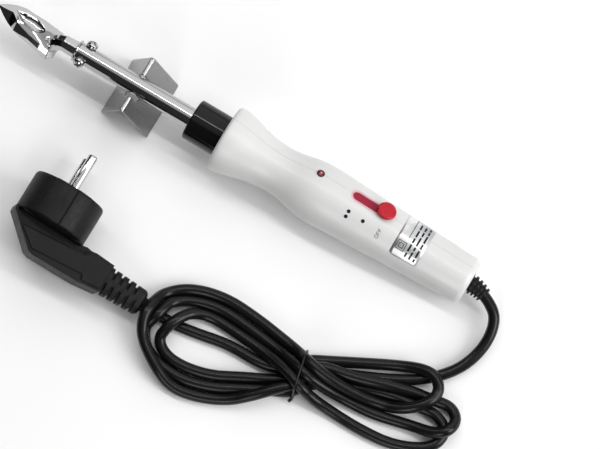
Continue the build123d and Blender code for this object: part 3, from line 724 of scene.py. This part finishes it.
def face_section(inset, recess=0.0):
    pts = []
    n = 144
    for k in range(n):
        a = 2 * math.pi * k / n
        x, z = math.sin(a), math.cos(a)
        r = 19.5 - inset
        if abs(x) > 0.52 and abs(z) < 0.86:
            r -= 0.75
        if abs(x * 19.5) < 2.5:
            r -= 0.75
        w = max(0.0, min(1.0, (16.0 - abs(x * 19.5)) / 2.0))
        r -= recess * w * w * (3 - 2 * w)
        pts.append((x * r, z * r))
    return pts


rings = []
for y, ins in ((-60.9, 1.3), (-60.35, 0.6), (-60.9, 0.15), (-61.6, 0.0), (-70.0, 0.0), (-79.0, 0.0), (-79.6, 0.0), (-79.8, 0.05), (-80.2, 0.1), (-80.5, 0.3), (-80.9, 0.9)):
    if ins == 1.3:
        y = -60.0
    if ins == 0.6:
        y = -60.12
    rec = {-79.6: 0.3, -79.8: 1.0, -80.2: 4.5, -80.5: 8.0, -80.9: 8.5}.get(y, 0.0)
    rings.append([pp(x, y, z) for x, z in face_section(ins, rec)])
v, f = skin(rings)
fb = make("plug_face_block", v, f, PLUG, smooth=20)


def inset_poly(poly, d):
    out = []
    n = len(poly)
    for i in range(n):
        a, b2, c2 = Vector(poly[i - 1]), Vector(poly[i]), Vector(poly[(i + 1) % n])
        e1, e2 = (b2 - a).normalized(), (c2 - b2).normalized()
        n1, n2 = Vector((-e1.y, e1.x)), Vector((-e2.y, e2.x))
        m2 = (n1 + n2)
        m2 = m2 / max(0.3, m2.dot(n1))
        out.append(tuple(b2 + m2 * d))
    return out


# counter-clockwise seen from the plug's top
HOUSE = [(-19.3, -79.9), (-19.1, -82.6), (-3.4, -96.4), (-0.6, -97.4), (24.0, -97.0), (36.0, -95.4), (36.0, -80.7), (26.0, -80.2), (21.0, -79.3), (18.0, -79.9)]
area = sum(HOUSE[i - 1][0] * HOUSE[i][1] - HOUSE[i][0] * HOUSE[i - 1][1] for i in range(len(HOUSE)))
sg = 1 if area > 0 else -1
rings = []
for z, d in ((-4.9, 0.8), (-4.3, 0.0), (4.3, 0.0), (4.9, 0.8)):
    rings.append([pp(x, y, z) for x, y in inset_poly(HOUSE, sg * d)])
v, f = skin(rings)
hb_ = make("plug_housing", v, f, PLUG, smooth=22, bevel=0.35)
# the housing's two flat sides: a thick pad, then a plate stepped along its back edge
PAD = [(-19.2, -80.0), (-19.0, -82.6), (-3.4, -96.4), (-0.6, -97.4), (24.0, -97.0), (36.0, -95.4), (36.0, -80.7), (26.0, -80.2), (23.0, -80.6), (20.5, -83.6), (-12.2, -86.9), (-17.6, -82.1), (-17.8, -80.0)]
LID = [(-12.5, -87.35), (-2.4, -95.0), (24.6, -92.7), (25.4, -95.3), (35.0, -94.3), (35.0, -81.8), (26.0, -81.3), (23.4, -81.8), (20.9, -84.2)]
for tag, poly, levels in (("pad", PAD, ((3.9, 0.0), (10.0, 0.0), (10.5, 0.15), (10.7, 0.45))), ("plate", LID, ((10.2, 0.0), (11.2, 0.0), (11.5, 0.12), (11.65, 0.4)))):
    area = sum(poly[i - 1][0] * poly[i][1] - poly[i][0] * poly[i - 1][1] for i in range(len(poly)))
    sl = 1 if area > 0 else -1
    for k, w in ((0, 1), (1, -1)):
        rings = []
        for z, d in levels:
            rings.append([pp(x, y, z * w) for x, y in inset_poly(poly, sl * d)])
        v, f = skin(rings)
        make(f"plug_side_{tag}_{k}", v, f, PLUG, smooth=22)
# small hole in the plate: a flat near-black disc, not a recess; its darkness is painted shade
hole = [circle(pp(19.8, -90.1, z), PLUG_FWD, Vector((0, 1, 0)), r, 24) for z, r in ((11.3, 0.78), (11.62, 0.78), (11.63, 0.6))]
v, f = skin(hole)
make("plug_hole_painted_shade_disc", v, f, HOLE_SHADE_PAINT, smooth=30)

# ribbed tail: grooves from each side, staggered, joined by a plain spine
rings = []
X0, X1 = 33.5, 58.0
NX = 150
for i in range(NX + 1):
    x = X0 + (X1 - X0) * i / NX
    w = (x - 35.0) / (58.0 - 35.0)
    hw, hh = 7.4 - 0.9 * w, 6.1 - 1.3 * w
    end = min(1.0, (X1 - x) / 2.6)
    k1 = 1 - 0.30 * (1 - math.sqrt(max(0, 1 - (1 - end) ** 2)))
    ring = []
    for q in range(64):
        a = 2 * math.pi * q / 64
        cx, cz = math.cos(a), math.sin(a)
        e = 0.55
        y = math.copysign(abs(cx) ** e, cx) * hw * k1
        z = math.copysign(abs(cz) ** e, cz) * hh * k1
        ph = ((x - 37.0) / 4.1 + (0.5 if y < 0 else 0.0)) % 1.0
        inside = 36.4 < x < 54.6 and abs(y) > 1.6
        if inside:
            g = max(0.0, min(1.0, (0.20 - abs(ph - 0.5)) / 0.06))
            y -= math.copysign(1.5 * g * min(1, (abs(y) - 1.6) / 1.0), y)
            z -= math.copysign(1.35 * g * min(1, (abs(y) - 1.3) / 0.8) if abs(y) > 1.3 else 0.0, z)
        ring.append(pp(x, -88.0 + y, z))
    rings.append(ring)
v, f = skin(rings)
tl = make("plug_ribbed_tail", v, f, PLUG, smooth=38)
gl = lathe("plug_tail_gland", [(3.9, 56.8), (3.9, 58.6), (3.6, 59.3), (2.9, 59.6)], PLUG_MID + Vector((0, -88.0, 0)), PLUG_FWD, PLUG_UP, 40, PLUG, "handle")
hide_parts("plug_body")
pv, pf = [], []
for pin_z in (9.5, -9.5):
    rings = [circle(pp(0, -60.0 + y, pin_z), PLUG_FWD, PLUG_UP, r, 48) for y, r in ((-7.5, 2.3), (0.0, 2.4), (9.0, 2.4), (18.0, 2.4), (18.3, 2.34), (18.6, 2.15), (18.85, 1.8), (18.97, 1.2), (19.0, 0.5))]
    v, f = skin(rings)
    off = len(pv)
    pv += v
    pf += [tuple(i + off for i in q) for q in f]
pins = make("plug_pins_round", pv, pf, NICKEL, smooth=40)
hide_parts("plug_pins")
for pin_z in (9.5, -9.5):
    lathe(f"plug_pin_collar_{'a' if pin_z > 0 else 'b'}", [(3.3, -0.2), (3.3, 0.25), (3.1, 0.45), (2.45, 0.5)], pp(0, -60.0, pin_z), Vector((0, 1, 0)), PLUG_UP, 40, PLUG, "handle")

# ------------------------------------------------------------------ strain relief
mids = [at(0.9), at(-4.5), CORD_EXIT]


def bez(p, u):
    a, b2, c2 = p
    return a * (1 - u) ** 2 + b2 * 2 * u * (1 - u) + c2 * u * u


def bez_d(p, u):
    a, b2, c2 = p
    return ((b2 - a) * (1 - u) + (c2 - b2) * u).normalized()


rings = []
NR = 120
for i in range(NR + 1):
    u = i / NR
    c2 = bez(mids, u)
    d2 = bez_d(mids, u)
    a1 = TOP - d2 * TOP.dot(d2)
    a1.normalize()
    b1 = d2.cross(a1)
    base_r = 5.3 - 1.35 * u
    ph = (u * 4.6) % 1.0
    g = max(0.0, min(1.0, (0.25 - abs(ph - 0.72)) / 0.08))
    if u > 0.96:
        g = max(g, (u - 0.96) / 0.04 * 0.8)
    r = base_r - 1.15 * g
    rings.append(circle(c2, a1, b1, r, 48))
v, f = skin(rings)
rl = make("cord_relief_ribs", v, f, RELIEF, smooth=38)
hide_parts("strain_relief")

# ------------------------------------------------------------------ wire tie round the hank
cu_mesh = bpy.data.meshes.new_from_object(cord.evaluated_get(bpy.context.evaluated_depsgraph_get()))
TXC = 78.7
tilt = -0.215
sect = []
for p in cu_mesh.vertices:
    q = p.co / MM
    if abs(q.x - (TXC + tilt * (q.y + 80.3))) < 1.3 and -97 < q.y < -62:
        sect.append((q.y, q.z))
sect = sorted(set((round(a, 2), round(b2, 2)) for a, b2 in sect))


def cross2(o, a, b2):
    return (a[0] - o[0]) * (b2[1] - o[1]) - (a[1] - o[1]) * (b2[0] - o[0])


hull = []
for seq in (sect, sect[::-1]):
    part_h = []
    for p in seq:
        while len(part_h) >= 2 and cross2(part_h[-2], part_h[-1], p) <= 0:
            part_h.pop()
        part_h.append(p)
    hull += part_h[:-1]
cy = sum(p[0] for p in hull) / len(hull)
cz = sum(p[1] for p in hull) / len(hull)
loop = []
L = [0.0]
for i in range(len(hull)):
    q = hull[(i + 1) % len(hull)]
    L.append(L[-1] + math.hypot(q[0] - hull[i][0], q[1] - hull[i][1]))
NL = 72
for k in range(NL):
    s = L[-1] * k / NL
    i = max(j for j in range(len(hull)) if L[j] <= s + 1e-9)
    u = (s - L[i]) / max(L[i + 1] - L[i], 1e-9)
    q = hull[(i + 1) % len(hull)]
    loop.append((hull[i][0] + (q[0] - hull[i][0]) * u, hull[i][1] + (q[1] - hull[i][1]) * u))
WR = 0.5
rings = []
for k in range(NL):
    a, b2, c2 = loop[k - 1], loop[k], loop[(k + 1) % NL]
    d2 = Vector((0, c2[0] - a[0], c2[1] - a[1])).normalized()
    out = Vector((0, d2.z, -d2.y))
    y, z = b2[0] + out.y * WR, b2[1] + out.z * WR
    z = max(z, WR * 0.75)
    ctr = Vector((TXC + tilt * (y + 80.3), y, z))
    rings.append(circle(ctr, out, Vector((1, 0, 0)), WR * (1.0 if out.z > -0.9 else 0.75), 14))
rings.append(rings[0])
v, f = skin(rings, cap0=False, cap1=False)
tie = make("wire_tie", v, f, TIE, smooth=60)
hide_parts("hank_tie")
ylow = min(p[0] for p in loop)
zk = max(1.6, [p[1] for p in loop if p[0] == ylow][0])
base = Vector((TXC + tilt * (ylow + 80.3), ylow - 0.6, zk))
dirk = Vector((-0.35, -0.80, -0.12)).normalized()
kx = dirk.cross(Vector((0, 0, 1))).normalized()
kz = kx.cross(dirk)
for q in range(2):
    rings = []
    for i in range(41):
        u = i / 40
        ph = math.pi * q + u * 1.4 * 2 * math.pi
        ctr = base + dirk * (2.2 * u) + (kx * math.cos(ph) + kz * math.sin(ph)) * 0.52
        ctr.z = max(ctr.z, 0.6)
        rings.append(circle(ctr, kx, kz, 0.5, 12))
    v, f = skin(rings)
    make(f"wire_tie_twist_{q}", v, f, TIE, smooth=60)

# ------------------------------------------------------------------ floor, lights, sky
me = bpy.data.meshes.new("floor")
me.from_pydata([(-3, -3, 0), (3, -3, 0), (3, 3, 0), (-3, 3, 0)], [], [(0, 1, 2, 3)])
floor = bpy.data.objects.new("floor", me)
scene.collection.objects.link(floor)
FM, nt, b = new_mat("pale_floor", (0.93, 0.93, 0.93), 0.75)
tint(nt, b, noise(nt, 6.0, 3.0), (0.925, 0.925, 0.925), (0.94, 0.94, 0.94))
me.materials.append(FM)
floor.location.z = -0.0001


def area_light(name, loc, size, power, target=(0, 0, 0), shape="RECTANGLE", size_y=None, color=(1, 1, 1)):
    li = bpy.data.lights.new(name, "AREA")
    li.shape, li.size, li.energy, li.color = shape, size, power, color
    if size_y:
        li.size_y = size_y
    o = bpy.data.objects.new(name, li)
    o.location = loc
    d2 = (Vector(target) - Vector(loc)).normalized()
    o.rotation_euler = d2.to_track_quat("-Z", "X").to_euler()
    scene.collection.objects.link(o)
    return o


strip_l = area_light("strip", (0.0, 0.29, 1.15), 3.0, 6.5, size_y=0.05)
strip_l.rotation_euler = (Vector((0.0, -0.29, -1.15))).to_track_quat("-Z", "Y").to_euler()
area_light("soft_far", (-0.2, 1.7, 1.6), 3.0, 11.0, target=(0, 0, 0), size_y=2.2)
area_light("soft_end", (2.3, 0.2, 1.5), 1.6, 40.0, target=(0, 0, 0), size_y=1.6)
area_light("soft_near", (0.5, -1.9, 1.2), 1.2, 11.0, target=(0, 0, 0), size_y=0.8)

world = bpy.data.worlds.new("studio")
world.use_nodes = True
scene.world = world
wn = world.node_tree
bg = wn.nodes["Background"]
tc = wn.nodes.new("ShaderNodeTexCoord")
sep = wn.nodes.new("ShaderNodeSeparateXYZ")
wn.links.new(tc.outputs["Generated"], sep.inputs["Vector"])
# angle from straight up towards -Y, as a ramp: far side light, near side dark
mul = wn.nodes.new("ShaderNodeMath")
mul.operation = "ARCTAN2"
neg = wn.nodes.new("ShaderNodeMath")
neg.operation = "MULTIPLY"
neg.inputs[1].default_value = -1.0
wn.links.new(sep.outputs["Y"], neg.inputs[0])
wn.links.new(neg.outputs[0], mul.inputs[0])
wn.links.new(sep.outputs["Z"], mul.inputs[1])
mr = wn.nodes.new("ShaderNodeMapRange")
mr.inputs["From Min"].default_value, mr.inputs["From Max"].default_value = -math.pi / 2, math.pi / 2
wn.links.new(mul.outputs[0], mr.inputs["Value"])
ramp = wn.nodes.new("ShaderNodeValToRGB")
els = ramp.color_ramp.elements
els[0].position, els[0].color = 0.0, (0.50, 0.50, 0.50, 1)
els[1].position, els[1].color = 1.0, (0.04, 0.04, 0.04, 1)
for pos, val in ((0.25, 0.62), (0.45, 0.68), (0.575, 0.64), (0.605, 0.10), (0.66, 0.04)):
    e = els.new(pos)
    e.color = (val, val, val, 1)
wn.links.new(mr.outputs["Result"], ramp.inputs["Fac"])
fall = wn.nodes.new("ShaderNodeMapRange")
fall.inputs["From Min"].default_value, fall.inputs["From Max"].default_value = -0.62, -0.42
fall.inputs["To Min"].default_value, fall.inputs["To Max"].default_value = 0.08, 1.0
wn.links.new(sep.outputs["X"], fall.inputs["Value"])
dim = wn.nodes.new("ShaderNodeVectorMath")
dim.operation = "SCALE"
wn.links.new(ramp.outputs["Color"], dim.inputs[0])
wn.links.new(fall.outputs["Result"], dim.inputs["Scale"])
wn.links.new(dim.outputs["Vector"], bg.inputs["Color"])
bg.inputs["Strength"].default_value = 0.82

scene.view_settings.view_transform = "Standard"
scene.view_settings.exposure = 0.12
